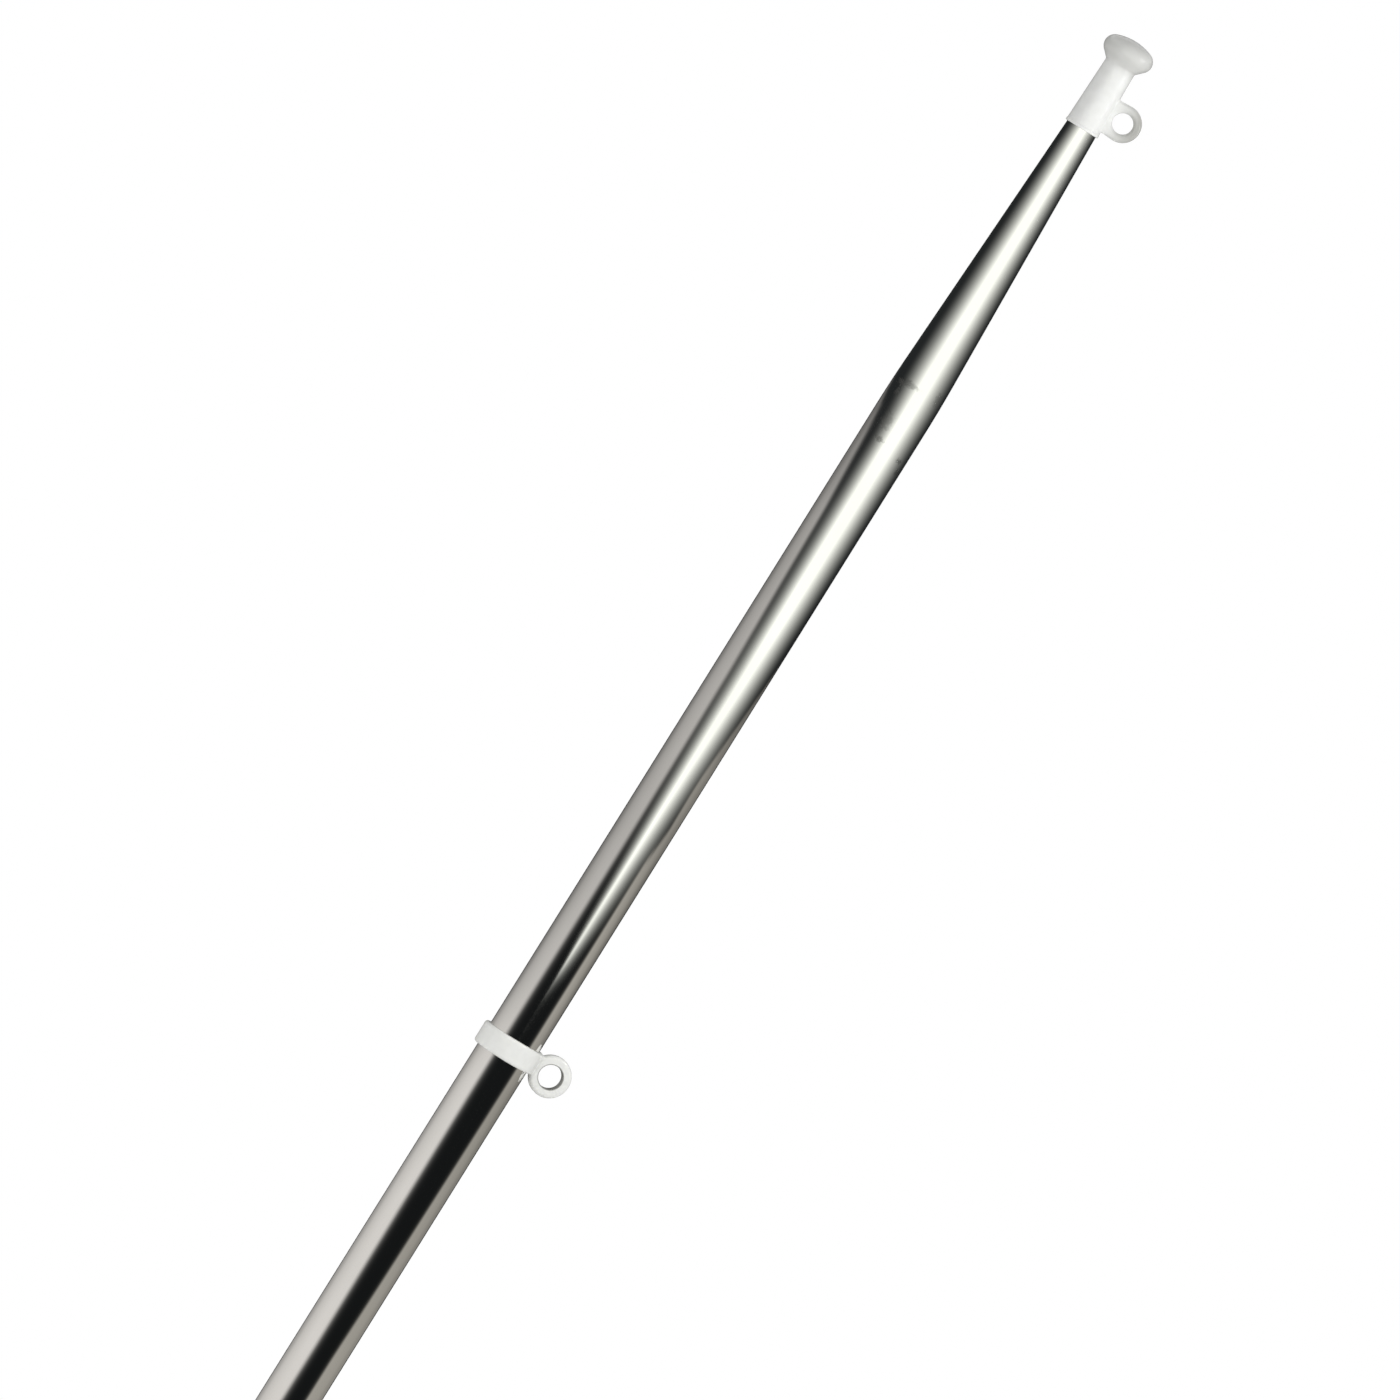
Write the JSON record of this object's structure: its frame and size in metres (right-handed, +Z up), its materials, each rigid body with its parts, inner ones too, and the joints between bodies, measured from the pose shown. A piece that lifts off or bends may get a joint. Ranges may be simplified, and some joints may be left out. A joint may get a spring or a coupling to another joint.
{
  "type": "short stainless flagstaff with moulded truck and sliding flag ring",
  "caption": "Slender polished steel tube staff, tapered to a slim tip, with a white mushroom truck and a white sliding ring whose eyes hold a small flag.",
  "frame": {"origin": "centre of the tube's foot, in the plane of its cut end", "axes": "+Z up along the staff from the foot to the crown, +X from the tube's axis towards the truck's eye, -Y out of the truck's eye towards the viewer"},
  "size_m": [0.0463, 0.0296, 0.8],
  "materials": {
    "polished_steel": "mirror polished stainless steel",
    "truck_nylon": "milky white moulded nylon, satin",
    "ring_nylon": "milky white moulded nylon, satin"
  },
  "bodies": {
    "staff": {"pole_tube": "polished_steel", "truck_cap": "truck_nylon"},
    "ring": {"flag_ring": "ring_nylon"}
  },
  "joints": [
    {"name": "ring_slide", "type": "slide", "parent": "staff", "child": "ring", "axis": [0, 0, 1], "range_m": [-0.177, 0.313]}
  ]
}
